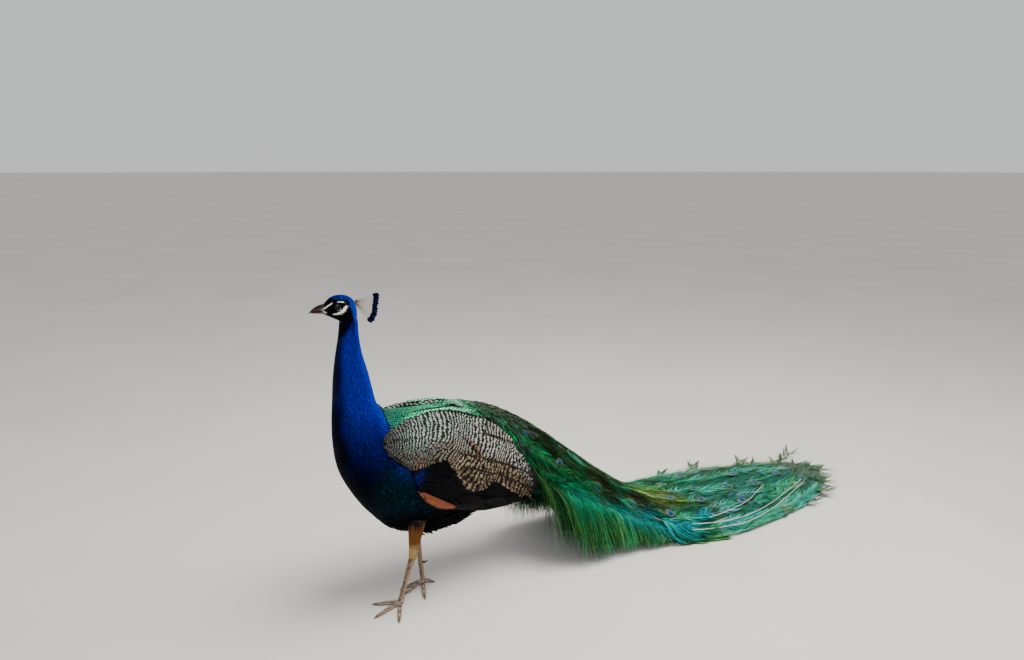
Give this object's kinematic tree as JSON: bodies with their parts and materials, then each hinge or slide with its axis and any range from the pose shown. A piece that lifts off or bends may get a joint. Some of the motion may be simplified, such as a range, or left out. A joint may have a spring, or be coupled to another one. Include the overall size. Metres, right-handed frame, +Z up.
{
  "type": "peacock",
  "caption": "Adult male peafowl standing at life size, head turned a little to its right, wings folded, with its long train laid out behind it on the floor.",
  "frame": {"origin": "under the middle of the bird's bounding box, on the floor its soles and train rest on", "axes": "+Z up, +Y along the train away from the head, so the bird faces -Y, +X to the bird's left"},
  "size_m": [0.485, 2.0292, 0.8928],
  "materials": {
    "neck_feathers": "short iridescent feathers, cobalt blue",
    "breast_feathers": "iridescent feathers, blue turning to dark green",
    "back_feathers": "scale-like feathers, emerald with bronze edges",
    "train_feathers": "long loose feathers, green and bronze with eyespots",
    "tail_feathers": "stiff plain brown feathers",
    "barred_feathers": "cream and black wavy bars",
    "dark_wing_feathers": "near-black with a blue sheen",
    "primaries": "rufous",
    "thigh_down": "buff down",
    "leg_scales": "scaled skin",
    "bill": "horn",
    "eye": "wet and dark",
    "claw": "horn"
  },
  "bodies": {
    "root": {"head": "neck_feathers", "bill_upper": "bill", "bill_lower": "bill", "eye_L": "eye", "eye_R": "eye", "crest": "neck_feathers", "neck_upper": "neck_feathers", "neck_lower": "neck_feathers", "breast": "breast_feathers", "belly": "breast_feathers", "rump": "back_feathers", "thigh_L": "thigh_down", "shank_L": "leg_scales", "foot_L": "leg_scales", "spur_L": "claw", "claw_middle_L": "claw", "claw_outer_L": "claw", "claw_inner_L": "claw", "claw_hind_L": "claw", "thigh_R": "thigh_down", "shank_R": "leg_scales", "foot_R": "leg_scales", "spur_R": "claw", "claw_middle_R": "claw", "claw_outer_R": "claw", "claw_inner_R": "claw", "claw_hind_R": "claw", "wing_scapulars_L": "barred_feathers", "wing_coverts_L": "barred_feathers", "wing_primaries_L": "primaries", "wing_secondaries_L": "dark_wing_feathers", "wing_scapulars_R": "barred_feathers", "wing_coverts_R": "barred_feathers", "wing_primaries_R": "primaries", "wing_secondaries_R": "dark_wing_feathers", "tail": "tail_feathers", "train_back": "train_feathers", "train_ridge": "train_feathers", "train_curtain_L": "train_feathers", "train_curtain_R": "train_feathers", "train_floor": "train_feathers", "train_fan": "train_feathers", "train_end": "train_feathers"}
  },
  "joints": []
}
